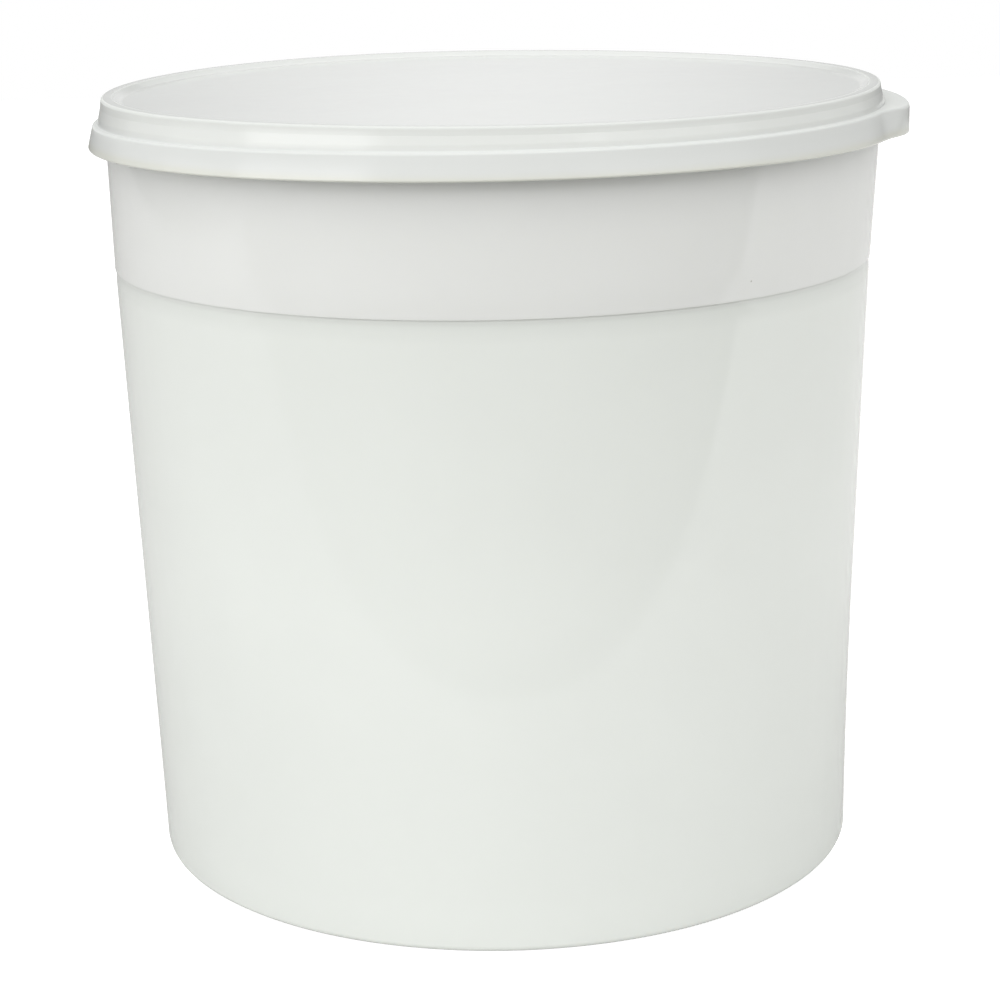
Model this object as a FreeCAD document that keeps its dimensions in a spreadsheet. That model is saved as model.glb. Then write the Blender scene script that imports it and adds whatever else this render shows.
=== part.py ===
"""Round one-litre food tub with a press-on lid, shut.

The tub is a tapered wall on a ring foot, with a slightly prouder band below its rim.
The lid is a thin moulded cap: a sunk panel inside a raised crest that sits over the
tub's rim, a narrow ledge, a flared skirt and a lift tab that swells out of the skirt
on the +X side.  The pack is shut, so the tub is solid up to the lid.

Frame: millimetres, +Z up, origin on the ground at the middle of the base.
"""
import FreeCAD, Part
import math
import os

import Sketcher

# name, value in millimetres or degrees, meaning
SIZES = [
    ("base_radius", 52.9, "wall carried down to the ground"),
    ("base_corner", 1.0, "round where the wall meets the foot"),
    ("foot_radius", 49.6, "inner edge of the ring foot"),
    ("foot_slope", 1.6, "width of the slope up from the foot"),
    ("foot_recess", 1.2, "height of the base above the ground"),
    ("foot_round", 0.5, "round inside the ring foot"),
    ("gate_radius", 3.2, "moulding gate's dimple under the base"),
    ("gate_depth", 0.35, "depth of that dimple"),
    ("neck_radius", 55.92, "wall where it starts to draw in below the band"),
    ("neck_height", 2.0, "height over which the wall draws in below the band"),
    ("neck_draw", 0.2, "how far it draws in"),
    ("neck_round", 10.0, "round where the wall starts to draw in"),
    ("band_level", 89.6, "lower edge of the band"),
    ("band_radius", 56.05, "lower edge of the band"),
    ("band_top_radius", 56.82, "top of the band, inside the lid"),
    ("band_top_level", 110.5, "top of the band"),
    ("rim_radius", 56.15, "outside of the rim's top"),
    ("rim_inner_radius", 55.72, "inside of the rim"),
    ("skirt_level", 108.1, "lower edge of the lid's skirt"),
    ("skirt_radius", 59.4, "lower edge of the skirt"),
    ("ledge_outer_radius", 58.45, "top of the skirt"),
    ("ledge_level", 111.6, "ledge between the skirt and the lid's wall"),
    ("ledge_radius", 57.5, "foot of the lid's wall on the ledge"),
    ("shoulder_radius", 57.4, "where the lid's wall starts to lean in"),
    ("shoulder_level", 112.5, "where the lid's wall starts to lean in"),
    ("shoulder_round", 2.0, "round where the lid's wall starts to lean in"),
    ("riser_radius", 57.08, "foot of the crest's riser on the lid's wall"),
    ("riser_level", 113.5, "foot of the crest's riser on the lid's wall"),
    ("crest_radius", 56.95, "outside of the crest"),
    ("crest_inner_radius", 55.3, "inside of the crest"),
    ("crest_level", 115.0, "top of the crest"),
    ("panel_radius", 55.05, "edge of the sunk panel"),
    ("panel_drop", 0.7, "panel's depth below the crest"),
    ("lid_wall", 0.65, "thickness of the lid"),
    ("channel_gap", 0.15, "play between the lid's wall and the rim"),
    ("tab_radius", 61.35, "end of the lift tab, from the axis"),
    ("tab_angle", 12.0, "half of the tab's full-width end"),
    ("tab_blend_angle", 12.0, "angle in which the tab fades into the skirt"),
    ("skirt_edge_round", 0.45, "round along the top of the skirt"),
    ("skirt_foot_round", 0.25, "round along the lower edge of the skirt"),
    ("ledge_round", 0.3, "hollow round at the foot of the lid's wall"),
    ("crest_round", 0.5, "rounds along the crest"),
    ("panel_round", 0.4, "hollow round at the panel's edge"),
]

# levels that follow from the sheet
LID_UNDERSIDE = "sizes.crest_level - sizes.panel_drop - sizes.lid_wall"
CHANNEL_TOP = "sizes.crest_level - sizes.lid_wall"
LEDGE_UNDERSIDE = "sizes.ledge_level - sizes.lid_wall"

doc = FreeCAD.newDocument("food_tub")
sheet = doc.addObject("Spreadsheet::Sheet", "sizes")


def fill_sheet():
    """One row for each driving dimension: its name, its value, what it is."""
    for row, (name, number, meaning) in enumerate(SIZES, start=1):
        sheet.set(f"A{row}", name)
        sheet.set(f"B{row}", str(number))
        sheet.set(f"C{row}", meaning)
        sheet.setAlias(f"B{row}", name)
    doc.recompute()


def value(expression):
    """The number that an expression on the sheet gives now."""
    return float(sheet.evalExpression(expression))


def new_body(name):
    body = doc.addObject("PartDesign::Body", name)
    body.Label = name
    return body


def new_sketch(body, name, plane):
    """An empty sketch lying on one of the body's own origin planes."""
    sketch = body.newObject("Sketcher::SketchObject", name)
    support = next(item for item in body.Origin.OriginFeatures if item.Role == plane)
    sketch.AttachmentSupport = (support, [""])
    sketch.MapMode = "FlatFace"
    return sketch


def bind(sketch, constraint, expression):
    """Add a dimension and tie it to the sheet."""
    index = sketch.addConstraint(constraint)
    sketch.setExpression(f"Constraints[{index}]", expression)


def pin(sketch, edge, end, across, up):
    """Hold one end of an edge at two expressions; "0" puts it on the axis itself."""
    if across == "0":
        sketch.addConstraint(Sketcher.Constraint("PointOnObject", edge, end, -2))
    else:
        bind(sketch, Sketcher.Constraint("DistanceX", -1, 1, edge, end, value(across)), across)
    if up == "0":
        sketch.addConstraint(Sketcher.Constraint("PointOnObject", edge, end, -1))
    else:
        bind(sketch, Sketcher.Constraint("DistanceY", -1, 1, edge, end, value(up)), up)


def half_section(body, name, corners):
    """Closed outline of straight edges on the XZ plane; corners are (radius, level)."""
    sketch = new_sketch(body, name, "XZ_Plane")
    places = []
    for radius, level in corners:
        places.append(FreeCAD.Vector(value(radius), value(level), 0))
    for start, end in zip(places, places[1:] + places[:1]):
        sketch.addGeometry(Part.LineSegment(start, end), False)
    for edge, (radius, level) in enumerate(corners):
        following = (edge + 1) % len(corners)
        sketch.addConstraint(Sketcher.Constraint("Coincident", edge, 2, following, 1))
        pin(sketch, edge, 1, radius, level)
    return sketch


def turned(body, kind, name, section):
    """Turn a half section once round the Z axis, adding or cutting as kind says."""
    feature = body.newObject(kind, name)
    feature.Profile = section
    feature.ReferenceAxis = (section, ["V_Axis"])
    feature.Angle = 360
    doc.recompute()
    return feature


def swelling_radius(skirt, tab, blend):
    """Radius of the two equal arcs that lead from the skirt's circle out to the tab's.

    One arc touches the skirt's circle from outside, the other touches the tab's circle
    from inside, and they touch each other; the touching points stand blend degrees apart.
    """
    cosine = math.cos(math.radians(blend))
    rise = (tab - skirt) * (1 + cosine)
    apart = skirt ** 2 + tab ** 2 - 2 * skirt * tab * cosine
    slack = 2 * (1 - cosine)
    return (math.sqrt(rise ** 2 + slack * apart) - rise) / slack


def arc(centre, radius, start, end):
    """Counter-clockwise arc; the angles are in degrees."""
    circle = Part.Circle(centre, FreeCAD.Vector(0, 0, 1), radius)
    return Part.ArcOfCircle(circle, math.radians(start), math.radians(end))


def polar(radius, angle):
    turn = math.radians(angle)
    return FreeCAD.Vector(radius * math.cos(turn), radius * math.sin(turn), 0)


def heading(start, end):
    """Direction from one point to another, in degrees."""
    return math.degrees(math.atan2(end.y - start.y, end.x - start.x))


def tab_outline(body, name, skirt, tab, level):
    """Skirt seen from above: a circle that swells smoothly into the tab on +X.

    Six arcs: the skirt's circle, an S of two equal arcs, the tab's end, and the S again.
    """
    sketch = new_sketch(body, name, "XY_Plane")
    sketch.AttachmentOffset = FreeCAD.Placement(
        FreeCAD.Vector(0, 0, value(level)), FreeCAD.Rotation())
    sketch.setExpression("AttachmentOffset.Base.z", level)
    skirt_radius = value(skirt)
    tab_radius = value(tab)
    near = value("sizes.tab_angle")
    blend = value("sizes.tab_blend_angle")
    far = near + blend
    bend = swelling_radius(skirt_radius, tab_radius, blend)
    origin = FreeCAD.Vector(0, 0, 0)
    hollow_up = polar(skirt_radius + bend, far)
    round_up = polar(tab_radius - bend, near)
    hollow_down = polar(skirt_radius + bend, -far)
    round_down = polar(tab_radius - bend, -near)
    meet_up = heading(round_up, hollow_up)
    meet_down = heading(round_down, hollow_down)
    arcs = [
        arc(origin, tab_radius, -near, near),
        arc(round_up, bend, near, meet_up),
        arc(hollow_up, bend, meet_up + 180, far + 180),
        arc(origin, skirt_radius, far, 360 - far),
        arc(hollow_down, bend, 180 - far, meet_down + 180),
        arc(round_down, bend, meet_down, -near),
    ]
    for piece in arcs:
        sketch.addGeometry(piece, False)
    tab_end, round_1, hollow_1, skirt_arc, hollow_2, round_2 = range(6)
    for first, end, second, start in (
        (tab_end, 2, round_1, 1),
        (round_1, 2, hollow_1, 2),
        (hollow_1, 1, skirt_arc, 1),
        (skirt_arc, 2, hollow_2, 2),
        (hollow_2, 1, round_2, 1),
        (round_2, 2, tab_end, 1),
    ):
        sketch.addConstraint(Sketcher.Constraint("Tangent", first, end, second, start))
    for circle in (tab_end, skirt_arc):
        sketch.addConstraint(Sketcher.Constraint("Coincident", circle, 3, -1, 1))
    for first, second in ((round_1, hollow_1), (round_2, hollow_2)):
        sketch.addConstraint(Sketcher.Constraint("Equal", first, second))
    bind(sketch, Sketcher.Constraint("Radius", tab_end, tab_radius), tab)
    bind(sketch, Sketcher.Constraint("Radius", skirt_arc, skirt_radius), skirt)
    tab_side = f"({tab}) * sin(sizes.tab_angle)"
    skirt_side = f"({skirt}) * sin(sizes.tab_angle + sizes.tab_blend_angle)"
    for edge, end, side in ((tab_end, 2, tab_side), (skirt_arc, 1, skirt_side)):
        bind(sketch, Sketcher.Constraint("DistanceY", -1, 1, edge, end, value(side)), side)
    for edge, end, side in ((tab_end, 1, tab_side), (skirt_arc, 2, skirt_side)):
        bind(sketch, Sketcher.Constraint("DistanceY", edge, end, -1, 1, value(side)), side)
    return sketch


def lofted(body, kind, name, lower, upper):
    """Straight-sided loft between two outlines, adding or cutting as kind says."""
    feature = body.newObject(kind, name)
    feature.Profile = lower
    feature.Sections = [upper]
    feature.Ruled = True
    doc.recompute()
    return feature


def edges_at(feature, level, least, most):
    """Names of the level edges at this height whose distance from the axis lies between."""
    names = []
    for number, edge in enumerate(feature.Shape.Edges, start=1):
        box = edge.BoundBox
        if abs(box.ZMin - level) > 1e-4 or abs(box.ZMax - level) > 1e-4:
            continue
        middle = edge.valueAt((edge.FirstParameter + edge.LastParameter) / 2)
        if least <= math.hypot(middle.x, middle.y) <= most:
            names.append(f"Edge{number}")
    return names


def rounded(body, name, radius, level, least, most):
    """Round the level edges found at this height and distance from the axis."""
    base = body.Tip
    names = edges_at(base, value(level), value(least), value(most))
    if not names:
        raise RuntimeError(f"{name} finds no edge")
    feature = body.newObject("PartDesign::Fillet", name)
    feature.Base = (base, names)
    feature.Radius = value(radius)
    feature.setExpression("Radius", radius)
    doc.recompute()
    return feature


def make_tub():
    """Tapered wall on a ring foot, neck, band and rim; solid up to the lid."""
    body = new_body("tub")
    section = half_section(body, "tub_section", [
        ("0", "sizes.foot_recess + sizes.gate_depth"),
        ("sizes.gate_radius", "sizes.foot_recess + sizes.gate_depth"),
        ("sizes.gate_radius + sizes.gate_depth", "sizes.foot_recess"),
        ("sizes.foot_radius - sizes.foot_slope", "sizes.foot_recess"),
        ("sizes.foot_radius", "0"),
        ("sizes.base_radius", "0"),
        ("sizes.neck_radius", "sizes.band_level - sizes.neck_height"),
        ("sizes.neck_radius - sizes.neck_draw", "sizes.band_level"),
        ("sizes.band_radius", "sizes.band_level"),
        ("sizes.band_top_radius", "sizes.band_top_level"),
        ("sizes.rim_radius", CHANNEL_TOP),
        ("sizes.rim_inner_radius", CHANNEL_TOP),
        ("sizes.rim_inner_radius", LID_UNDERSIDE),
        ("0", LID_UNDERSIDE),
    ])
    turned(body, "PartDesign::Revolution", "tub_wall", section)
    rounded(body, "neck_bend", "sizes.neck_round", "sizes.band_level - sizes.neck_height",
            "sizes.neck_radius - 0.1", "sizes.neck_radius + 0.1")
    rounded(body, "base_edge", "sizes.base_corner", "0", "sizes.base_radius - 0.1",
            "sizes.base_radius + 0.1")
    rounded(body, "foot_edge", "sizes.foot_round", "0", "sizes.foot_radius - 0.1",
            "sizes.foot_radius + 0.1")
    rounded(body, "foot_hollow", "sizes.foot_round", "sizes.foot_recess",
            "sizes.foot_radius - sizes.foot_slope - 0.1",
            "sizes.foot_radius - sizes.foot_slope + 0.1")
    return body


def make_lid():
    """Thin cap: skirt with its tab, ledge, wall, crest and sunk panel, hollow below.

    The wall stands up from the ledge, leans in above its shoulder and ends at the crest's
    steeper riser.
    """
    body = new_body("lid")
    skirt_foot = tab_outline(body, "skirt_foot_outline", "sizes.skirt_radius",
                             "sizes.tab_radius", "sizes.skirt_level")
    skirt_top = tab_outline(body, "skirt_top_outline", "sizes.ledge_outer_radius",
                            "sizes.tab_radius", "sizes.ledge_level")
    lofted(body, "PartDesign::AdditiveLoft", "skirt_block", skirt_foot, skirt_top)
    cap = half_section(body, "cap_section", [
        ("0", "sizes.ledge_level"),
        ("sizes.ledge_radius", "sizes.ledge_level"),
        ("sizes.shoulder_radius", "sizes.shoulder_level"),
        ("sizes.riser_radius", "sizes.riser_level"),
        ("sizes.crest_radius", "sizes.crest_level"),
        ("sizes.crest_inner_radius", "sizes.crest_level"),
        ("sizes.panel_radius", "sizes.crest_level - sizes.panel_drop"),
        ("0", "sizes.crest_level - sizes.panel_drop"),
    ])
    turned(body, "PartDesign::Revolution", "cap_block", cap)
    rounded(body, "skirt_edge", "sizes.skirt_edge_round", "sizes.ledge_level",
            "sizes.ledge_outer_radius - 0.1", "sizes.tab_radius + 0.1")
    rounded(body, "ledge_hollow", "sizes.ledge_round", "sizes.ledge_level",
            "sizes.ledge_radius - 0.1", "sizes.ledge_radius + 0.1")
    rounded(body, "shoulder_bend", "sizes.shoulder_round", "sizes.shoulder_level",
            "sizes.shoulder_radius - 0.1", "sizes.shoulder_radius + 0.1")
    rounded(body, "crest_edges", "sizes.crest_round", "sizes.crest_level",
            "sizes.crest_inner_radius - 0.1", "sizes.crest_radius + 0.1")
    rounded(body, "panel_hollow", "sizes.panel_round", "sizes.crest_level - sizes.panel_drop",
            "sizes.panel_radius - 0.1", "sizes.panel_radius + 0.1")
    inner_foot = tab_outline(body, "skirt_hollow_foot", "sizes.skirt_radius - sizes.lid_wall",
                             "sizes.tab_radius - sizes.lid_wall", "sizes.skirt_level")
    inner_top = tab_outline(body, "skirt_hollow_top",
                            "sizes.ledge_outer_radius - sizes.lid_wall",
                            "sizes.tab_radius - sizes.lid_wall", LEDGE_UNDERSIDE)
    lofted(body, "PartDesign::SubtractiveLoft", "skirt_hollow", inner_foot, inner_top)
    seat = half_section(body, "seat_section", [
        ("0", "sizes.skirt_level"),
        ("sizes.ledge_radius - sizes.lid_wall", "sizes.skirt_level"),
        ("sizes.ledge_radius - sizes.lid_wall", LEDGE_UNDERSIDE),
        ("sizes.rim_radius + sizes.channel_gap", CHANNEL_TOP),
        ("sizes.rim_inner_radius", CHANNEL_TOP),
        ("sizes.rim_inner_radius", LID_UNDERSIDE),
        ("0", LID_UNDERSIDE),
    ])
    turned(body, "PartDesign::Groove", "rim_seat", seat)
    rounded(body, "skirt_foot_edge", "sizes.skirt_foot_round", "sizes.skirt_level",
            "sizes.skirt_radius - 0.1", "sizes.tab_radius + 0.1")
    return body


def check(bodies):
    """Stop on any failed object, and on a sub-part that is not one sound solid."""
    doc.recompute()
    for item in doc.Objects:
        if "Invalid" in item.State or "Error" in item.State:
            raise RuntimeError(f"{item.Name} failed: {item.State}")
    for body in bodies:
        shape = body.Shape
        if shape.isNull() or not shape.isValid() or len(shape.Solids) != 1:
            raise RuntimeError(f"{body.Label} is not one valid solid")
        box = shape.BoundBox
        print(f"{body.Label}: {shape.Volume / 1000:.2f} cm3, "
              f"{box.XLength:.2f} x {box.YLength:.2f} x {box.ZLength:.2f} mm")
    overlap = bodies[0].Shape.common(bodies[1].Shape).Volume
    print(f"overlap of the two: {overlap:.4f} mm3")


def export(bodies):
    os.makedirs("parts", exist_ok=True)
    for body in bodies:
        body.Shape.exportStep(f"parts/{body.Label}.step")


fill_sheet()
pieces = [make_tub(), make_lid()]
check(pieces)
export(pieces)
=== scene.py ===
"""Looks of a round white food tub with a press-on lid, laid out as a Blender add-on.

The tub and the lid are turned sections, worked out as whole arrays.  Lengths are in
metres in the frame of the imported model: +Z up, the ground at zero, the tab on +X.
"""
import math

import bpy
import numpy as np
from bpy.props import FloatProperty, FloatVectorProperty, PointerProperty
from mathutils import Matrix, Vector


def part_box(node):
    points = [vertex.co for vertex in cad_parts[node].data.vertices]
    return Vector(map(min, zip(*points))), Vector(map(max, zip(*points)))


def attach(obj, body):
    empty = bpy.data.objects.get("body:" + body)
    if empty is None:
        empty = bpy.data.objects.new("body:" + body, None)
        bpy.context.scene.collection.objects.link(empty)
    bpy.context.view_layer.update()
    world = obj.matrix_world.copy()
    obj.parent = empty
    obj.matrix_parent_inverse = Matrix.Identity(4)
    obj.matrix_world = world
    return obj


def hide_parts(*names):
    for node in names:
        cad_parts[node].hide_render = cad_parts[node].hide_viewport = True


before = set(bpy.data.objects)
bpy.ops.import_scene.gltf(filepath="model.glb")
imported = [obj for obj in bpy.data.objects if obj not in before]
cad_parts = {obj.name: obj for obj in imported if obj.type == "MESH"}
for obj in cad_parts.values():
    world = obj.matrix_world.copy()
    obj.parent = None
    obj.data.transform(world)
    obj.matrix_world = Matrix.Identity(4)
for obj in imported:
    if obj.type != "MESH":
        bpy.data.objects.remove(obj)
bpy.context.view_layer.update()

bl_info = {
    "name": "Food tub",
    "version": (1, 0, 0),
    "blender": (4, 5, 0),
    "location": "3D View > Sidebar > Food tub",
    "description": "Builds a white food tub, its press-on lid and a plain studio",
    "category": "Add Mesh",
}

MM = 0.001

# Pieces in each rounded corner, longest piece of a straight run, pieces in a turn of the
# tub and of the lid, and the round given to corners that nobody sees.
ARC_STEPS = 6
LONGEST_RUN = 5 * MM
TUB_TURNS = 360
LID_TURNS = 480
HIDDEN_ROUND = 0.1 * MM

# Width of the camera's sensor in millimetres, and white light with its alpha.
SENSOR_WIDTH = 36
WHITE = (1, 1, 1, 1)

# Slow waves of the tub's wall: share of the wall wave, waves in one turn, and the phase in
# radians that they gain from the ground to the rim.
WALL_WAVES = ((1.0, 3, 2), (0.6, 7, -5), (0.4, 12, 9))

# Bow of the seated lid in millimetres at its skirt's foot, its ledge and its crest: the
# even part, then the parts that go with cos t, cos 2t, cos 3t and sin t, with t the angle
# from the tab.
FOOT_BOW = (-0.58, 0.07, -0.25, 0, 0)
LEDGE_BOW = (-0.37, 0.34, -0.13, 0.11, 0)
CREST_BOW = (-0.36, 0, -0.07, 0.12, 0.21)

TUB_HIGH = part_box("tub")[1]
LID_LOW, LID_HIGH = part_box("lid")


def linear(hex_colour):
    """Linear red, green and blue of an sRGB hex colour."""
    coded = np.array([int(hex_colour[at:at + 2], 16) for at in (1, 3, 5)]) / 255
    return tuple(np.where(coded <= 0.04045, coded / 12.92, ((coded + 0.055) / 1.055) ** 2.4))


def length(name, description, default):
    """A property for a size given in metres."""
    return FloatProperty(name=name, description=description, default=default,
                         precision=5, subtype="DISTANCE", unit="LENGTH")


def colour(name, description, hex_colour):
    """A property for a colour given as sRGB hex."""
    return FloatVectorProperty(name=name, description=description, default=linear(hex_colour),
                               size=3, min=0, max=1, subtype="COLOR")


def angle(name, description, degrees):
    """A property for an angle given in degrees."""
    return FloatProperty(name=name, description=description, default=math.radians(degrees),
                         subtype="ANGLE", unit="ROTATION")


def amount(name, description, default):
    """A property for a plain number."""
    return FloatProperty(name=name, description=description, default=default, precision=3)


class TubSizes(bpy.types.PropertyGroup):
    """Half section of the tub, from the base's middle out and up to the rim"""

    rim_level: length("Rim level", "Top of the rim inside the lid", TUB_HIGH.z)
    rim_radius: length("Rim radius", "Outside of the rim's top", 56.15 * MM)
    rim_inner_radius: length("Rim inner radius", "Inside of the rim", 55.72 * MM)
    rim_height: length("Rim height", "Rim above the lid's underside", 0.7 * MM)
    band_top_radius: length("Band top radius", "Top of the band", 56.82 * MM)
    band_top_level: length("Band top level", "Top of the band", 110.5 * MM)
    band_radius: length("Band radius", "Lower edge of the band", 56.05 * MM)
    band_level: length("Band level", "Lower edge of the band", 89.6 * MM)
    band_round: length("Band round", "Round under the band's lower edge", 0.06 * MM)
    band_shift: length("Band shift", "The band's top stands this far towards the tab", 0.4 * MM)
    neck_radius: length("Neck radius", "Wall where it starts to draw in", 55.92 * MM)
    neck_height: length("Neck height", "Height over which the wall draws in", 2.0 * MM)
    neck_draw: length("Neck draw", "How far the wall draws in", 0.05 * MM)
    neck_round: length("Neck round", "Round where the wall starts to draw in", 10 * MM)
    step_round: length("Step round", "Hollow where the wall meets the band", 0.03 * MM)
    band_top_round: length("Band top round", "Round where the band meets the rim", 0.5 * MM)
    base_radius: length("Base radius", "Wall carried down to the ground", 52.9 * MM)
    base_corner: length("Base corner", "Round where the wall meets the foot", 1.0 * MM)
    foot_radius: length("Foot radius", "Inner edge of the ring foot", 49.6 * MM)
    foot_slope: length("Foot slope", "Width of the slope up from the foot", 1.6 * MM)
    foot_recess: length("Foot recess", "Height of the base above the ground", 1.2 * MM)
    foot_round: length("Foot round", "Rounds inside the ring foot", 0.5 * MM)
    gate_radius: length("Gate radius", "Moulding gate's dimple", 3.2 * MM)
    gate_depth: length("Gate depth", "Depth of that dimple", 0.35 * MM)
    gate_round: length("Gate round", "Round along that dimple's edge", 0.15 * MM)
    wall_wave: length("Wall wave", "Unevenness of the moulded wall", 0.02 * MM)
    base_swell: length("Base swell", "How far the base stands out on one side", 0.7 * MM)
    base_swell_height: length("Base swell height", "Height in which it fades out", 40 * MM)
    base_swell_side: angle("Base swell side", "Where the base stands out, from the tab", -25)


class LidSizes(bpy.types.PropertyGroup):
    """Half section of the lid and the reach of its tab"""

    crest_level: length("Crest level", "Top of the crest", LID_HIGH.z)
    crest_radius: length("Crest radius", "Outside of the crest", 56.95 * MM)
    crest_inner_radius: length("Crest inner radius", "Inside of the crest", 55.3 * MM)
    crest_round: length("Crest round", "Rounds along the crest", 0.5 * MM)
    panel_radius: length("Panel radius", "Edge of the sunk panel", 54.0 * MM)
    panel_drop: length("Panel drop", "Depth of the panel below the crest", 0.7 * MM)
    panel_round: length("Panel round", "Hollow round at the panel's edge", 1.2 * MM)
    riser_radius: length("Riser radius", "Foot of the crest's riser", 57.08 * MM)
    riser_level: length("Riser level", "Foot of the crest's riser", 113.75 * MM)
    riser_round: length("Riser round", "Hollow round at the riser's foot", 0.1 * MM)
    shoulder_radius: length("Shoulder radius", "Where the wall starts to lean in", 57.4 * MM)
    shoulder_level: length("Shoulder level", "Where the wall starts to lean in", 112.5 * MM)
    shoulder_round: length("Shoulder round", "Round where it starts to lean in", 2.0 * MM)
    ledge_radius: length("Ledge radius", "Foot of the wall on the ledge", 57.5 * MM)
    ledge_level: length("Ledge level", "Ledge above the skirt", 111.6 * MM)
    ledge_round: length("Ledge round", "Hollow round at the wall's foot", 0.3 * MM)
    ledge_outer_radius: length("Ledge outer radius", "Top of the skirt", 58.3 * MM)
    skirt_radius: length("Skirt radius", "Lower edge of the skirt", 59.15 * MM)
    skirt_level: length("Skirt level", "Lower edge of the skirt", LID_LOW.z)
    skirt_edge_round: length("Skirt edge round", "Round along the skirt's top", 0.45 * MM)
    skirt_foot_round: length("Skirt foot round", "Round along the skirt's foot", 0.25 * MM)
    wall: length("Wall", "Thickness of the lid", 0.65 * MM)
    channel_inner: length("Channel inner radius", "Inside of the rim's channel", 55.72 * MM)
    channel_outer: length("Channel outer radius", "Outside of the channel's top", 56.3 * MM)
    shift: length("Shift", "The lid sits this far towards its tab", 0.2 * MM)
    tab_radius: length("Tab radius", "End of the lift tab from the lid's own middle",
                       LID_HIGH.x - 0.2 * MM)
    # Painted shade: within this reach the lid's rounded edges are darkened to dim their
    # highlights; their gloss is lowered too.
    edge_reach: length("Edge reach", "How far from its rounded edges the plastic is duller",
                       0.55 * MM)
    tab_angle: angle("Tab angle", "Half of the tab's full-width end", 12)
    tab_blend: angle("Tab blend", "Angle in which the tab fades into the skirt", 12)


class PlasticFinish(bpy.types.PropertyGroup):
    """Colours and surface of the moulded plastic"""

    tub_white: colour("Tub white", "Wall with white filling behind it", "#E4E7E3")
    # Painted shade: the wall is darker towards the base, from low_level up to full_level.
    tub_low_painted_shade: colour("Tub low white", "Thicker wall near the base", "#DADDD9")
    # Painted shade: the wall is darkened close under the band's step, where the band's overhang
    # shades it; it fades out by step_fade.
    near_step_painted_shade: colour("Near step white", "Wall a little way under the band", "#DCDFDB")
    step_painted_shade: colour("Step white", "Wall close under the band's step", "#D3D6D2")
    band_white: colour("Band white", "Band, with air behind it", "#E4E5E3")
    # Painted shade: the band is a little darker where the skirt hangs over it and shades it,
    # from band_even_level up.
    band_high_painted_shade: colour("Band high white", "Band where the skirt hangs over it", "#E1E2E1")
    lid_white: colour("Lid white", "Lid's panel, crest and wall", "#DBDDDA")
    skirt_white: colour("Skirt white", "Thin skirt that hangs free", "#DADCDA")
    skirt_edge_white: colour("Skirt edge white", "Skirt's lower edge", "#D8D9D2")
    cloud: amount("Cloud", "Tone where the pigment lies thinner", 0.982)
    speck: colour("Speck", "Stray specks in the plastic", "#8E8B80")
    low_level: length("Low level", "Up to here the wall has its low white", 8 * MM)
    full_level: length("Full level", "From here up it has its full white", 48 * MM)
    # Depths of that painted shade under the band's step.
    step_fade: length("Step fade", "Depth under the band where the step's tone ends",
                      3.2 * MM)
    near_step: length("Near step", "Depth of the near step white", 0.9 * MM)
    at_step: length("At step", "Depth of the step white", 0.2 * MM)
    band_even_level: length("Band even level", "Up to here the band has one white",
                            100 * MM)
    skirt_edge_fade: length("Skirt edge fade", "Height of the edge's tone over the foot",
                            0.6 * MM)
    skirt_fade_low: length("Skirt fade low", "Skirt's white ends this far below the ledge",
                           0.7 * MM)
    skirt_fade_high: length("Skirt fade high", "The lid's starts this far above the ledge",
                            0.4 * MM)
    tub_roughness: amount("Tub roughness", "Roughness of the tub", 0.06)
    lid_roughness: amount("Lid roughness", "Roughness of the lid", 0.15)
    # Painted shade: the darkening of the lid's rounded edges, against their highlights.
    edge_painted_shade: amount("Edge tone", "Tone of the lid's rounded edges beside the rest", 0.91)
    gloss: amount("Gloss", "Specular level of the plastic", 0.5)
    edge_gloss: amount("Edge gloss", "Specular level left on those edges", 0.0)
    roughness_swing: amount("Roughness swing", "Change of the roughness over a ripple", 0.03)
    ior: amount("Index of refraction", "That of polypropylene", 1.49)
    translucence: amount("Translucence", "Share of light that wanders in the plastic", 0.1)
    translucence_depth: length("Translucence depth", "How deep that light goes", 0.8 * MM)
    cloud_size: length("Cloud size", "Width of a pale cloud", 22 * MM)
    peel_size: length("Peel size", "Width of the surface's slow ripples", 2.4 * MM)
    peel_height: length("Peel height", "Height of those ripples", 0.0008 * MM)
    grain_size: length("Grain size", "Width of the mould's fine grain", 0.45 * MM)
    grain_height: length("Grain height", "Height of the fine grain", 0.0005 * MM)
    lid_relief: amount("Lid relief", "Relief of the lid beside that of the tub", 0.1)
    speck_spacing: length("Speck spacing", "Distance between likely specks", 11 * MM)
    speck_radius: length("Speck radius", "Radius of a speck", 0.16 * MM)
    speck_strength: amount("Speck strength", "Strength of a speck's colour", 0.8)
    specks_left_out: amount("Specks left out", "Share of the likely specks left out", 0.86)


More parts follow.
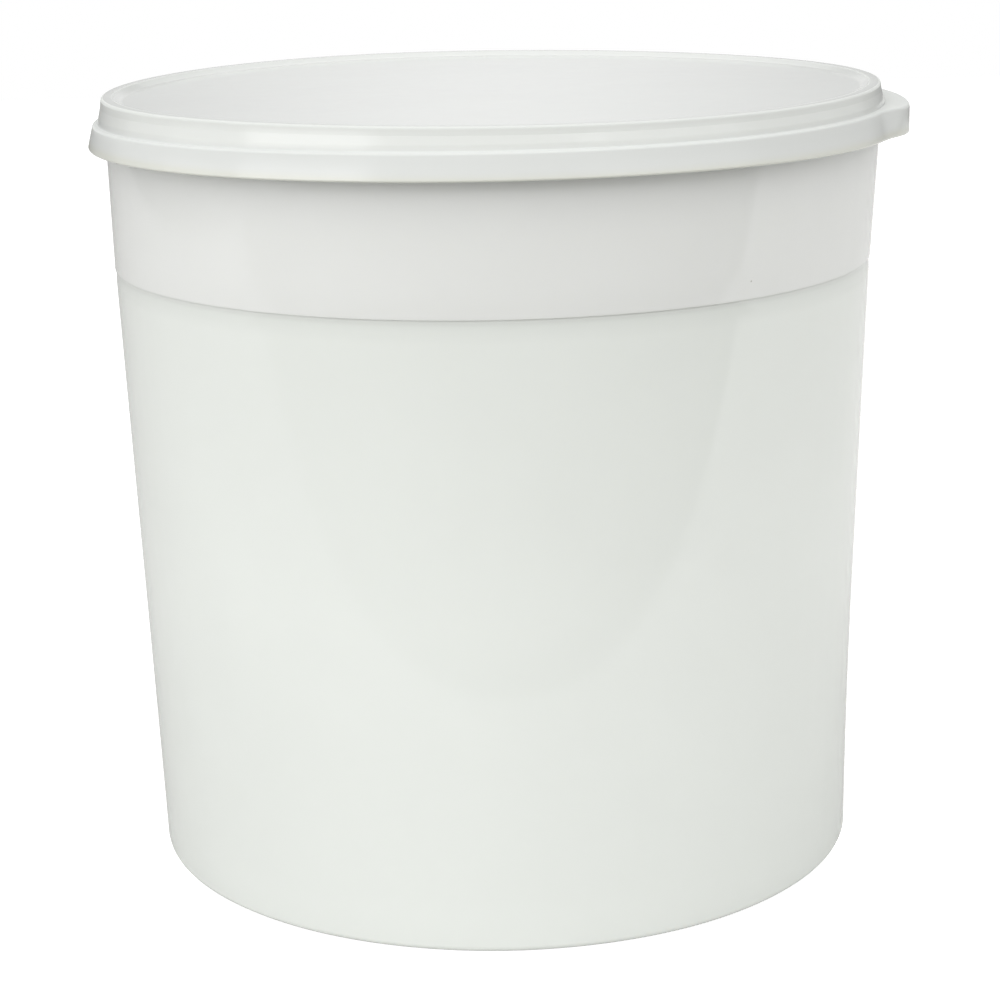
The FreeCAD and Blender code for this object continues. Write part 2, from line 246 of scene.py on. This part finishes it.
class StudioSettings(bpy.types.PropertyGroup):
    """Camera, lamps and floor"""

    lens: amount("Lens", "Focal length in millimetres", 89.57)
    distance: length("Distance", "Camera to the tub's axis, level", 370.6 * MM)
    height: length("Height", "Camera above the ground", 148.8 * MM)
    pitch: angle("Pitch", "How far the camera looks down", 14.785)
    yaw: angle("Yaw", "How far it looks to the right", 0.06)
    roll: angle("Roll", "How far it leans", 1.138)
    turn: angle("Turn", "How far it stands round the tub", -2.5)
    # Painted light: the card is darker on its left and brighter on its right, standing in for
    # more light falling on its right.
    card_left: colour("Card left", "White card under the tub, on its left", "#C8C8C6")
    card_right: colour("Card right", "The same card on its right", "#F4F4F2")
    glow: amount("Glow", "Lift that keeps the floor white for the camera", 0.72)
    table: colour("Table", "Greyer table in front of the card", "#84847E")
    backdrop_middle: length("Backdrop middle", "Brightest place of the backdrop", 50 * MM)
    backdrop_spread: length("Backdrop spread", "Distance in which it falls off", 490 * MM)
    backdrop_edge: amount("Backdrop edge", "Its brightness there beside the middle", 0.3)
    backdrop_top: amount("Backdrop top", "Its brightness high up beside below", 0.35)
    backdrop_low: length("Backdrop low", "Height where it starts to fade upwards", 0.3)
    backdrop_high: length("Backdrop high", "Height where that fading ends", 0.5)
    backdrop_away: length("Backdrop distance", "How far it hangs behind the axis", 1.2)
    backdrop_reach: length("Backdrop reach", "Half of its width", 1.4)
    backdrop_rise: length("Backdrop rise", "Its height", 0.6)
    card_front: length("Card front", "Front edge of the card from the axis", 142 * MM)
    card_back: length("Card back", "Back edge of the card from the axis", 0.9)
    card_left_end: length("Card left end", "Left edge of the card from the axis", 0.6)
    card_right_end: length("Card right end", "Right edge of the card from the axis", 1.2)
    card_thickness: length("Card thickness", "Card above the table", 0.5 * MM)
    table_reach: length("Table reach", "Half of the table's width", 4)
    # Bounds of the card's painted light, which goes from dark on the left to bright on the
    # right.
    shade_left: length("Shade left", "The card's left shade ends this far left", 0.2)
    shade_right: length("Shade right", "Its right shade starts this far right", 0.25)
    seen_shade: amount("Seen shade", "Shade of card and table for the camera", 0.7)
    aim: length("Aim", "Height at which the lamps are aimed", 0.09)
    world_light: amount("World light", "Level of the light from all round", 0.52)
    backdrop_light: amount("Backdrop light", "Brightness of the backdrop's middle", 0.85)
    left_lamp: amount("Left lamp", "Brightness of the softbox on the left", 2.35)
    right_lamp: amount("Right lamp", "Brightness of the softbox on the right", 0.62)
    front_lamp: amount("Front lamp", "Brightness of the wide one high in front", 1.68)
    high_right_lamp: amount("High right lamp", "Brightness of the high one on the right", 0.3)
    side_left_lamp: amount("Side left lamp", "Brightness of the low one at the left side", 0.65)
    top_lamp: amount("Top lamp", "Brightness of the softbox overhead", 0.38)


def rounded_section(corners, rounds, counts):
    """Half section as points of radius and level: straight runs joined by tangent arcs.

    A point on a corner's arc is start + R (sin a along + (1 - cos a) side): along is the
    direction of the run before the corner, side is square to it towards the next run, a
    grows from nothing to the turn between the runs, and start lies R tan(turn / 2) before
    the corner.  The first and the last corner lie on the axis and stay sharp.  counts
    has the number of pieces in which each run is cut.
    """
    corners = np.asarray(corners)
    radius = np.asarray(rounds)[:, None]
    along = np.diff(corners, axis=0)
    along /= np.linalg.norm(along, axis=1, keepdims=True)
    before, after = along[:-1], along[1:]
    cross = before[:, :1] * after[:, 1:] - before[:, 1:] * after[:, :1]
    turn = np.arctan2(np.abs(cross), np.sum(before * after, axis=1, keepdims=True))
    side = np.sign(cross) * np.stack([-before[:, 1], before[:, 0]], axis=1)
    start = corners[1:-1] - before * radius * np.tan(turn / 2)
    swept = turn[:, None] * np.linspace(0, 1, ARC_STEPS + 1)[None, :, None]
    arcs = start[:, None] + radius[:, None] * (
        np.sin(swept) * before[:, None] + (1 - np.cos(swept)) * side[:, None])
    run_start = np.concatenate([corners[:1], arcs[:, -1]])
    run_end = np.concatenate([arcs[:, 0], corners[-1:]])
    parts = [corners[:1]]
    for at, count in enumerate(counts):
        parts.append(np.linspace(run_start[at], run_end[at], count + 1)[1:-1])
        parts.append(arcs[at] if at < len(arcs) else corners[-1:])
    return np.concatenate(parts)


def run_counts(corners):
    """Number of pieces in which each run of a section is cut, at most LONGEST_RUN long."""
    runs = np.linalg.norm(np.diff(np.asarray(corners), axis=0), axis=1)
    return np.maximum(1, np.ceil(runs / LONGEST_RUN).astype(int))


def turned_mesh(name, radius, level, shift, angles, edge):
    """Closed mesh of a section carried once round the Z axis.

    radius, level and shift are grids of section points by angles; a point lies at
    (shift + radius cos angle, radius sin angle, level).  The first and last rows are one
    point each, and the section runs from the underside out and over to the top.  edge
    has one number for each row, kept on the mesh for the material.
    """
    rows, turns = radius.shape
    grid = np.stack([shift + radius * np.cos(angles), radius * np.sin(angles), level], axis=2)
    points = np.concatenate([grid[0, :1], grid[1:-1].reshape(-1, 3), grid[-1, :1]])
    here = np.arange(turns)
    following = np.roll(here, -1)
    ring = 1 + turns * np.arange(rows - 3)[:, None]
    quads = np.stack([ring + here, ring + following, ring + turns + following,
                      ring + turns + here], axis=2).reshape(-1, 4)
    last_ring = 1 + turns * (rows - 3)
    top = len(points) - 1
    low_fan = np.stack([np.zeros(turns, int), 1 + following, 1 + here], axis=1)
    high_fan = np.stack([last_ring + here, last_ring + following,
                         np.full(turns, top)], axis=1)
    mesh = bpy.data.meshes.new(name)
    mesh.from_pydata(points, [], quads.tolist() + low_fan.tolist() + high_fan.tolist())
    mesh.validate()
    mesh.polygons.foreach_set("use_smooth", np.ones(len(mesh.polygons), bool))
    kept = mesh.attributes.new("edge", "FLOAT", "POINT")
    kept.data.foreach_set("value", np.concatenate(
        [edge[:1], np.repeat(edge[1:-1], turns), edge[-1:]]))
    mesh.update()
    return mesh


def add_piece(name, mesh, node, material):
    """Puts a mesh in the scene in place of its CAD node and gives it its material."""
    piece = bpy.data.objects.new(name, mesh)
    bpy.context.scene.collection.objects.link(piece)
    mesh.materials.append(material)
    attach(piece, "root")
    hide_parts(node)


def add_node(tree, kind, inputs=None, **settings):
    """Adds a node, with its settings, and its inputs as values or as other nodes' outputs."""
    node = tree.nodes.new(kind)
    for name, setting in settings.items():
        setattr(node, name, setting)
    for socket, given in (inputs or {}).items():
        if isinstance(given, bpy.types.NodeSocket):
            tree.links.new(given, node.inputs[socket])
        else:
            node.inputs[socket].default_value = given
    return node


def fresh_tree(owner):
    """The emptied node tree of a new material or world."""
    owner.use_nodes = True
    owner.node_tree.nodes.clear()
    return owner.node_tree


def blend_colours(tree, share, first, second):
    """Colour that goes from the first to the second as share goes from none to all."""
    factor, start, end, result = 0, 6, 7, 2
    blend = add_node(tree, "ShaderNodeMix", {factor: share, start: first, end: second},
                     data_type="RGBA")
    return blend.outputs[result]


def tone_by_level(tree, place, tones):
    """Colour that changes with the height above the ground; tones are (level, colour)."""
    top = tones[-1][0]
    axes = add_node(tree, "ShaderNodeSeparateXYZ", {"Vector": place})
    share = add_node(tree, "ShaderNodeMath", {0: axes.outputs["Z"], 1: top},
                     operation="DIVIDE")
    ramp = add_node(tree, "ShaderNodeValToRGB", {"Fac": share.outputs["Value"]})
    elements = ramp.color_ramp.elements
    elements.remove(elements[1])
    elements[0].position = tones[0][0] / top
    elements[0].color = (*tones[0][1], 1)
    for level, shade in tones[1:]:
        elements.new(level / top).color = (*shade, 1)
    return ramp.outputs["Color"]


def moulded_polypropylene(name, tones, roughness, relief, finish):
    """White injection-moulded polypropylene.

    It is a soft-gloss plastic that lets a little light in: it looks whiter where filling
    stands behind it than where it hangs free.  The mould leaves slow ripples and a fine
    grain, the pigment lies a little unevenly, and a few specks are mixed in.  The tones by
    level also carry painted shade, and the lid's rounded edges are darkened as painted
    shade against their highlights.
    """
    material = bpy.data.materials.new(name)
    tree = fresh_tree(material)
    place = add_node(tree, "ShaderNodeTexCoord").outputs["Object"]
    clouds = add_node(tree, "ShaderNodeTexNoise", {
        "Vector": place, "Scale": 1 / finish.cloud_size, "Detail": 3.0})
    cloudy = add_node(tree, "ShaderNodeMapRange", {
        "Value": clouds.outputs["Fac"], "From Min": 0.4, "From Max": 0.75,
        "To Min": 1.0, "To Max": finish.cloud})
    clouded = add_node(tree, "ShaderNodeVectorMath", {
        "Vector": tone_by_level(tree, place, tones), "Scale": cloudy.outputs["Result"]},
        operation="SCALE")
    edge = add_node(tree, "ShaderNodeAttribute", attribute_name="edge")
    # Painted shade: the lid's rounded edges are darkened to dim their highlights.
    shaded_and_duller = add_node(tree, "ShaderNodeMapRange", {
        "Value": edge.outputs["Fac"], "To Min": 1.0, "To Max": finish.edge_painted_shade})
    body = add_node(tree, "ShaderNodeVectorMath", {
        "Vector": clouded.outputs["Vector"], "Scale": shaded_and_duller.outputs["Result"]},
        operation="SCALE")
    gloss = add_node(tree, "ShaderNodeMapRange", {
        "Value": edge.outputs["Fac"], "To Min": finish.gloss, "To Max": finish.edge_gloss})
    cells = add_node(tree, "ShaderNodeTexVoronoi", {
        "Vector": place, "Scale": 1 / finish.speck_spacing, "Randomness": 1.0})
    near = add_node(tree, "ShaderNodeMapRange", {
        "Value": cells.outputs["Distance"],
        "From Min": finish.speck_radius / finish.speck_spacing,
        "From Max": 0.5 * finish.speck_radius / finish.speck_spacing,
        "To Min": 0.0, "To Max": finish.speck_strength})
    chosen = add_node(tree, "ShaderNodeSeparateColor", {"Color": cells.outputs["Color"]})
    rare = add_node(tree, "ShaderNodeMath", {
        0: chosen.outputs["Red"], 1: finish.specks_left_out}, operation="GREATER_THAN")
    speck = add_node(tree, "ShaderNodeMath", {
        0: near.outputs["Result"], 1: rare.outputs["Value"]}, operation="MULTIPLY")
    coloured = blend_colours(tree, speck.outputs["Value"], body.outputs["Vector"],
                             (*finish.speck, 1))
    peel = add_node(tree, "ShaderNodeTexNoise", {
        "Vector": place, "Scale": 1 / finish.peel_size, "Detail": 2.0})
    grain = add_node(tree, "ShaderNodeTexNoise", {
        "Vector": place, "Scale": 1 / finish.grain_size, "Detail": 4.0, "Roughness": 0.6})
    ripples = add_node(tree, "ShaderNodeBump", {
        "Height": peel.outputs["Fac"], "Distance": relief * finish.peel_height,
        "Strength": 1.0})
    surface = add_node(tree, "ShaderNodeBump", {
        "Height": grain.outputs["Fac"], "Distance": relief * finish.grain_height,
        "Strength": 1.0, "Normal": ripples.outputs["Normal"]})
    swing = finish.roughness_swing * relief
    sheen = add_node(tree, "ShaderNodeMapRange", {
        "Value": peel.outputs["Fac"], "From Min": 0.3, "From Max": 0.7,
        "To Min": roughness - swing, "To Max": roughness + swing})
    shader = add_node(tree, "ShaderNodeBsdfPrincipled", {
        "Base Color": coloured, "Roughness": sheen.outputs["Result"],
        "Normal": surface.outputs["Normal"], "IOR": finish.ior,
        "Specular IOR Level": gloss.outputs["Result"],
        "Subsurface Weight": finish.translucence, "Subsurface Radius": (1.0, 1.0, 0.9),
        "Subsurface Scale": finish.translucence_depth})
    add_node(tree, "ShaderNodeOutputMaterial", {"Surface": shader.outputs["BSDF"]})
    return material


def tub_corners(sizes):
    """Corners of the tub's closed section, from the base's middle out and up to the rim."""
    underside = sizes.rim_level - sizes.rim_height
    return [
        (0, sizes.foot_recess + sizes.gate_depth),
        (sizes.gate_radius, sizes.foot_recess + sizes.gate_depth),
        (sizes.gate_radius + sizes.gate_depth, sizes.foot_recess),
        (sizes.foot_radius - sizes.foot_slope, sizes.foot_recess),
        (sizes.foot_radius, 0),
        (sizes.base_radius, 0),
        (sizes.neck_radius, sizes.band_level - sizes.neck_height),
        (sizes.neck_radius - sizes.neck_draw, sizes.band_level),
        (sizes.band_radius, sizes.band_level),
        (sizes.band_top_radius, sizes.band_top_level),
        (sizes.rim_radius, sizes.rim_level),
        (sizes.rim_inner_radius, sizes.rim_level),
        (sizes.rim_inner_radius, underside),
        (0, underside),
    ]


class MakeTub(bpy.types.Operator):
    """Build the tub: tapered wall, ring foot, band and rim"""

    bl_idname = "food_tub.make_tub"
    bl_label = "Make the tub"

    def execute(self, context):
        sizes = context.scene.tub_sizes
        finish = context.scene.plastic_finish
        corners = tub_corners(sizes)
        rounds = [HIDDEN_ROUND, sizes.gate_round, sizes.foot_round, sizes.foot_round,
                  sizes.base_corner, sizes.neck_round, sizes.step_round, sizes.band_round,
                  sizes.band_top_round, HIDDEN_ROUND, HIDDEN_ROUND, HIDDEN_ROUND]
        section = rounded_section(corners, rounds, run_counts(corners))
        angles = np.linspace(0, 2 * math.pi, TUB_TURNS, endpoint=False)
        radius, level = section[:, :1], section[:, 1:] + 0 * angles
        height = level / sizes.rim_level
        on_wall = np.clip(radius / sizes.base_radius, 0, 1) ** 8
        wave = sizes.wall_wave * on_wall * sum(
            share * np.cos(waves * angles + twist * height)
            for share, waves, twist in WALL_WAVES)
        climb = np.clip((level - sizes.band_level) / (LID_LOW.z - sizes.band_level), 0, 1)
        low = np.clip(1 - level / sizes.base_swell_height, 0, 1) ** 2
        facing = np.clip(np.cos(angles - sizes.base_swell_side), 0, 1) ** 2
        radius = radius + wave + sizes.base_swell * on_wall * low * facing
        mesh = turned_mesh("tub_wall", radius, level, sizes.band_shift * climb, angles,
                           np.zeros(len(section)))
        tones = [
            # Painted shade: darker towards the base.
            (finish.low_level, finish.tub_low_painted_shade),
            (finish.full_level, finish.tub_white),
            # Painted shade under the band's step, darkest close under it and fading downwards.
            (sizes.band_level - finish.step_fade, finish.tub_white),
            (sizes.band_level - finish.near_step, finish.near_step_painted_shade),
            (sizes.band_level - finish.at_step, finish.step_painted_shade),
            (sizes.band_level, finish.band_white),
            (finish.band_even_level, finish.band_white),
            # Painted shade on the band under the skirt's overhang.
            (LID_LOW.z, finish.band_high_painted_shade),
        ]
        material = moulded_polypropylene("moulded_polypropylene_tub", tones,
                                         finish.tub_roughness, 1.0, finish)
        add_piece("tub_wall", mesh, "tub", material)
        return {"FINISHED"}


def lid_corners(sizes, skirt_top, skirt_foot):
    """Corners of the lid's closed section, from under its middle out and over to the top."""
    panel = sizes.crest_level - sizes.panel_drop
    channel = sizes.crest_level - sizes.wall
    inner_wall = sizes.ledge_radius - sizes.wall
    return [
        (0, panel - sizes.wall),
        (sizes.channel_inner, panel - sizes.wall),
        (sizes.channel_inner, channel),
        (sizes.channel_outer, channel),
        (inner_wall, sizes.ledge_level - sizes.wall),
        (skirt_top - sizes.wall, sizes.ledge_level - sizes.wall),
        (skirt_foot - sizes.wall, sizes.skirt_level),
        (skirt_foot, sizes.skirt_level),
        (skirt_top, sizes.ledge_level),
        (sizes.ledge_radius, sizes.ledge_level),
        (sizes.shoulder_radius, sizes.shoulder_level),
        (sizes.riser_radius, sizes.riser_level),
        (sizes.crest_radius, sizes.crest_level),
        (sizes.crest_inner_radius, sizes.crest_level),
        (sizes.panel_radius, panel),
        (0, panel),
    ]


def tab_blend(angles, full, fade):
    """How far the section has grown into the tab's: one on the tab, zero on the skirt.

    In the fade it follows two equal parabolas, 1 - 2 t^2 and then 2 (1 - t)^2.
    """
    away = np.abs((angles + math.pi) % (2 * math.pi) - math.pi)
    t = np.clip((away - full) / fade, 0, 1)
    return np.where(t < 0.5, 1 - 2 * t ** 2, 2 * (1 - t) ** 2)


def lid_droop(sizes, radius, level, angles):
    """How far each point of the seated lid lies above or below its even level.

    At each of three levels, the skirt's foot, the ledge and the crest, the lid bows as
    a + w (b cos t + c cos 2t + d cos 3t + e sin t), with t the angle from the tab; between
    them the bow changes evenly with the level.  w is one outside the panel and falls as
    the radius squared to nothing at its middle.
    """
    share = np.clip(radius / sizes.panel_radius, 0, 1) ** 2
    waves = (1, share * np.cos(angles), share * np.cos(2 * angles),
             share * np.cos(3 * angles), share * np.sin(angles))
    foot, ledge, crest = (
        MM * sum(size * wave for size, wave in zip(bow, waves))
        for bow in (FOOT_BOW, LEDGE_BOW, CREST_BOW))
    lower = np.clip((level - sizes.skirt_level) / (sizes.ledge_level - sizes.skirt_level), 0, 1)
    upper = np.clip((level - sizes.ledge_level) / (sizes.crest_level - sizes.ledge_level), 0, 1)
    return foot + lower * (ledge - foot) + upper * (crest - ledge)


def edge_shares(sizes, section):
    """One on the lid's rounded edges and the flat of its ledge, down to zero beside them.

    It is 1.6 - d / reach, kept between zero and one, with d the distance to the nearest of
    the edges' corners.  The material darkens these places as painted shade against their
    highlights and lowers their gloss.
    """
    corners = [
        (sizes.ledge_outer_radius, sizes.ledge_level),
        ((sizes.ledge_outer_radius + sizes.ledge_radius) / 2, sizes.ledge_level),
        (sizes.crest_radius, sizes.crest_level),
        (sizes.crest_inner_radius, sizes.crest_level),
    ]
    away = np.min([np.hypot(*(section - corner).T) for corner in corners], axis=0)
    return np.clip(1.6 - away / sizes.edge_reach, 0, 1)


class MakeLid(bpy.types.Operator):
    """Build the lid: sunk panel, crest, ledge, flared skirt and lift tab"""

    bl_idname = "food_tub.make_lid"
    bl_label = "Make the lid"

    def execute(self, context):
        sizes = context.scene.lid_sizes
        finish = context.scene.plastic_finish
        plain = lid_corners(sizes, sizes.ledge_outer_radius, sizes.skirt_radius)
        tab = lid_corners(sizes, sizes.tab_radius, sizes.tab_radius)
        rounds = [*6 * [HIDDEN_ROUND], sizes.skirt_foot_round, sizes.skirt_edge_round,
                  sizes.ledge_round, sizes.shoulder_round, sizes.riser_round,
                  sizes.crest_round, sizes.crest_round, sizes.panel_round]
        counts = run_counts(plain)
        plain_section = rounded_section(plain, rounds, counts)
        tab_section = rounded_section(tab, rounds, counts)
        angles = np.linspace(0, 2 * math.pi, LID_TURNS, endpoint=False)
        grown = tab_blend(angles, sizes.tab_angle, sizes.tab_blend)
        section = (plain_section[:, :, None]
                   + grown * (tab_section - plain_section)[:, :, None])
        radius, level = section[:, 0], section[:, 1]
        mesh = turned_mesh("lid_cap", radius, level + lid_droop(sizes, radius, level, angles),
                           sizes.shift + 0 * level, angles, edge_shares(sizes, plain_section))
        tones = [
            (sizes.skirt_level, finish.skirt_edge_white),
            (sizes.skirt_level + finish.skirt_edge_fade, finish.skirt_white),
            (sizes.ledge_level - finish.skirt_fade_low, finish.skirt_white),
            (sizes.ledge_level + finish.skirt_fade_high, finish.lid_white),
        ]
        material = moulded_polypropylene("moulded_polypropylene_lid", tones,
                                         finish.lid_roughness, finish.lid_relief, finish)
        add_piece("lid_cap", mesh, "lid", material)
        return {"FINISHED"}


def paper(name, left_shade, right_shade, studio):
    """Matt white card or tabletop, which the camera sees lifted to white outside shadows.

    Its shade changes smoothly from the left of the tub to the right.  On the card this is
    painted light: darker on the left and brighter on the right, where more light would fall.
    """
    material = bpy.data.materials.new(name)
    tree = fresh_tree(material)
    seen = add_node(tree, "ShaderNodeLightPath").outputs["Is Camera Ray"]
    place = add_node(tree, "ShaderNodeTexCoord").outputs["Object"]
    axes = add_node(tree, "ShaderNodeSeparateXYZ", {"Vector": place})
    rightward = add_node(tree, "ShaderNodeMapRange", {
        "Value": axes.outputs["X"], "From Min": -studio.shade_left,
        "From Max": studio.shade_right}, interpolation_type="SMOOTHSTEP")
    shade = blend_colours(tree, rightward.outputs["Result"], (*left_shade, 1),
                          (*right_shade, 1))
    matt = add_node(tree, "ShaderNodeBsdfDiffuse", {"Color": shade})
    pale = add_node(tree, "ShaderNodeBsdfDiffuse", {"Color": (*3 * [studio.seen_shade], 1)})
    light = add_node(tree, "ShaderNodeEmission", {"Color": WHITE, "Strength": studio.glow})
    lifted = add_node(tree, "ShaderNodeAddShader", {
        0: pale.outputs["BSDF"], 1: light.outputs["Emission"]})
    mixed = add_node(tree, "ShaderNodeMixShader", {
        0: seen, 1: matt.outputs["BSDF"], 2: lifted.outputs["Shader"]})
    add_node(tree, "ShaderNodeOutputMaterial", {"Surface": mixed.outputs["Shader"]})
    return material


def add_sheet(name, corners, material):
    """A flat four-cornered piece of the studio, which isn't part of the tub."""
    mesh = bpy.data.meshes.new(name)
    mesh.from_pydata(corners, [], [(0, 1, 2, 3)])
    mesh.materials.append(material)
    sheet = bpy.data.objects.new(name, mesh)
    bpy.context.scene.collection.objects.link(sheet)


def level_corners(left, right, front, back, level):
    """Corners of a level rectangle."""
    return [(left, front, level), (right, front, level), (right, back, level),
            (left, back, level)]


def add_backdrop(studio):
    """A white cloth behind the tub, brightest in its middle, that the camera sees as white.

    Its strength falls off sideways as a smooth bump and fades out towards its top.
    """
    material = bpy.data.materials.new("backdrop_cloth")
    tree = fresh_tree(material)
    place = add_node(tree, "ShaderNodeTexCoord").outputs["Object"]
    axes = add_node(tree, "ShaderNodeSeparateXYZ", {"Vector": place})
    offset = add_node(tree, "ShaderNodeMath", {0: axes.outputs["X"], 1: studio.backdrop_middle},
                      operation="SUBTRACT")
    aside = add_node(tree, "ShaderNodeMath", {0: offset.outputs["Value"]}, operation="ABSOLUTE")
    sideways = add_node(tree, "ShaderNodeMapRange", {
        "Value": aside.outputs["Value"], "From Min": 0.0, "From Max": studio.backdrop_spread,
        "To Min": 1.0, "To Max": studio.backdrop_edge}, interpolation_type="SMOOTHSTEP")
    upward = add_node(tree, "ShaderNodeMapRange", {
        "Value": axes.outputs["Z"], "From Min": studio.backdrop_low,
        "From Max": studio.backdrop_high, "To Min": studio.backdrop_light,
        "To Max": studio.backdrop_top * studio.backdrop_light},
        interpolation_type="SMOOTHSTEP")
    strength = add_node(tree, "ShaderNodeMath", {
        0: sideways.outputs["Result"], 1: upward.outputs["Result"]}, operation="MULTIPLY")
    seen = add_node(tree, "ShaderNodeLightPath").outputs["Is Camera Ray"]
    level = add_node(tree, "ShaderNodeMix", {
        "Factor": seen, "A": strength.outputs["Value"], "B": 1.0}, data_type="FLOAT")
    light = add_node(tree, "ShaderNodeEmission", {
        "Color": WHITE, "Strength": level.outputs["Result"]})
    add_node(tree, "ShaderNodeOutputMaterial", {"Surface": light.outputs["Emission"]})
    reach, away, rise = studio.backdrop_reach, studio.backdrop_away, studio.backdrop_rise
    add_sheet("backdrop", [(-reach, away, 0), (reach, away, 0), (reach, away, rise),
                           (-reach, away, rise)], material)


def add_softbox(name, bearing, height, distance, size, brightness, target):
    """A rectangular area lamp aimed at a point; its power is pi x area x brightness.

    bearing goes from the front to the right and height from level up, both in degrees.
    """
    lamp = bpy.data.lights.new(name, "AREA")
    lamp.shape = "RECTANGLE"
    lamp.size, lamp.size_y = size
    lamp.energy = math.pi * size[0] * size[1] * brightness
    box = bpy.data.objects.new(name, lamp)
    turn = math.radians(bearing)
    rise = math.radians(height)
    away = Vector((math.sin(turn) * math.cos(rise), -math.cos(turn) * math.cos(rise),
                   math.sin(rise)))
    box.location = target + away * distance
    box.rotation_mode = "QUATERNION"
    box.rotation_quaternion = away.to_track_quat("Z", "Y")
    box.visible_camera = False
    bpy.context.scene.collection.objects.link(box)


class MakeStudio(bpy.types.Operator):
    """Build the studio: card, table, softboxes, world and camera"""

    bl_idname = "food_tub.make_studio"
    bl_label = "Make the studio"

    def execute(self, context):
        studio = context.scene.studio_settings
        reach = studio.table_reach
        add_sheet("table", level_corners(-reach, reach, -reach, reach, -studio.card_thickness),
                  paper("painted_table", studio.table, studio.table, studio))
        add_sheet("card", level_corners(-studio.card_left_end, studio.card_right_end,
                                        -studio.card_front, studio.card_back, 0),
                  paper("matt_card_painted_light", studio.card_left, studio.card_right, studio))
        add_backdrop(studio)
        aim = Vector((0, 0, studio.aim))
        for name, bearing, height, distance, size, brightness in (
            ("left_softbox", -55, 9, 0.9, (0.62, 0.48), studio.left_lamp),
            ("right_softbox", 47, 12, 0.9, (0.78, 0.48), studio.right_lamp),
            ("front_softbox", -8, 55, 1.6, (2.4, 1.7), studio.front_lamp),
            ("high_right_softbox", 75, 50, 1.5, (1.2, 1.0), studio.high_right_lamp),
            ("side_left_softbox", -90, 2, 0.9, (0.4, 0.3), studio.side_left_lamp),
            ("top_softbox", 0, 88, 1.2, (1.4, 1.4), studio.top_lamp),
        ):
            add_softbox(name, bearing, height, distance, size, brightness, aim)
        world = bpy.data.worlds.new("studio")
        context.scene.world = world
        tree = fresh_tree(world)
        seen = add_node(tree, "ShaderNodeLightPath").outputs["Is Camera Ray"]
        level = add_node(tree, "ShaderNodeMapRange", {
            "Value": seen, "To Min": studio.world_light, "To Max": 1.0})
        sky = add_node(tree, "ShaderNodeBackground", {
            "Color": WHITE, "Strength": level.outputs["Result"]})
        add_node(tree, "ShaderNodeOutputWorld", {"Surface": sky.outputs["Background"]})
        camera_data = bpy.data.cameras.new("camera")
        camera_data.lens = studio.lens
        camera_data.sensor_width = SENSOR_WIDTH
        camera = bpy.data.objects.new("camera", camera_data)
        context.scene.collection.objects.link(camera)
        camera.matrix_world = (
            Matrix.Rotation(studio.turn, 4, "Z")
            @ Matrix.Translation((0, -studio.distance, studio.height))
            @ Matrix.Rotation(-studio.yaw, 4, "Z")
            @ Matrix.Rotation(math.pi / 2 - studio.pitch, 4, "X")
            @ Matrix.Rotation(-studio.roll, 4, "Z"))
        context.scene.camera = camera
        context.scene.view_settings.view_transform = "Standard"
        return {"FINISHED"}


class FoodTubPanel(bpy.types.Panel):
    """Sidebar panel with the sizes, the finish and the buttons"""

    bl_idname = "VIEW3D_PT_food_tub"
    bl_label = "Food tub"
    bl_space_type = "VIEW_3D"
    bl_region_type = "UI"
    bl_category = "Food tub"

    def draw(self, context):
        scene = context.scene
        for settings, operator in (
            (scene.tub_sizes, MakeTub),
            (scene.lid_sizes, MakeLid),
            (scene.plastic_finish, None),
            (scene.studio_settings, MakeStudio),
        ):
            box = self.layout.box()
            for name in settings.__annotations__:
                box.prop(settings, name)
            if operator:
                box.operator(operator.bl_idname)


GROUPS = {
    "tub_sizes": TubSizes,
    "lid_sizes": LidSizes,
    "plastic_finish": PlasticFinish,
    "studio_settings": StudioSettings,
}
CLASSES = (*GROUPS.values(), MakeTub, MakeLid, MakeStudio, FoodTubPanel)


def register():
    """Adds the add-on's classes and its settings to Blender."""
    for item in CLASSES:
        bpy.utils.register_class(item)
    for name, group in GROUPS.items():
        setattr(bpy.types.Scene, name, PointerProperty(type=group))


def unregister():
    """Takes them out again."""
    for name in GROUPS:
        delattr(bpy.types.Scene, name)
    for item in reversed(CLASSES):
        bpy.utils.unregister_class(item)


def main():
    """Builds the tub, the lid and the studio."""
    register()
    bpy.ops.food_tub.make_tub()
    bpy.ops.food_tub.make_lid()
    bpy.ops.food_tub.make_studio()
    bpy.context.view_layer.update()


if __name__ == "__main__":
    main()
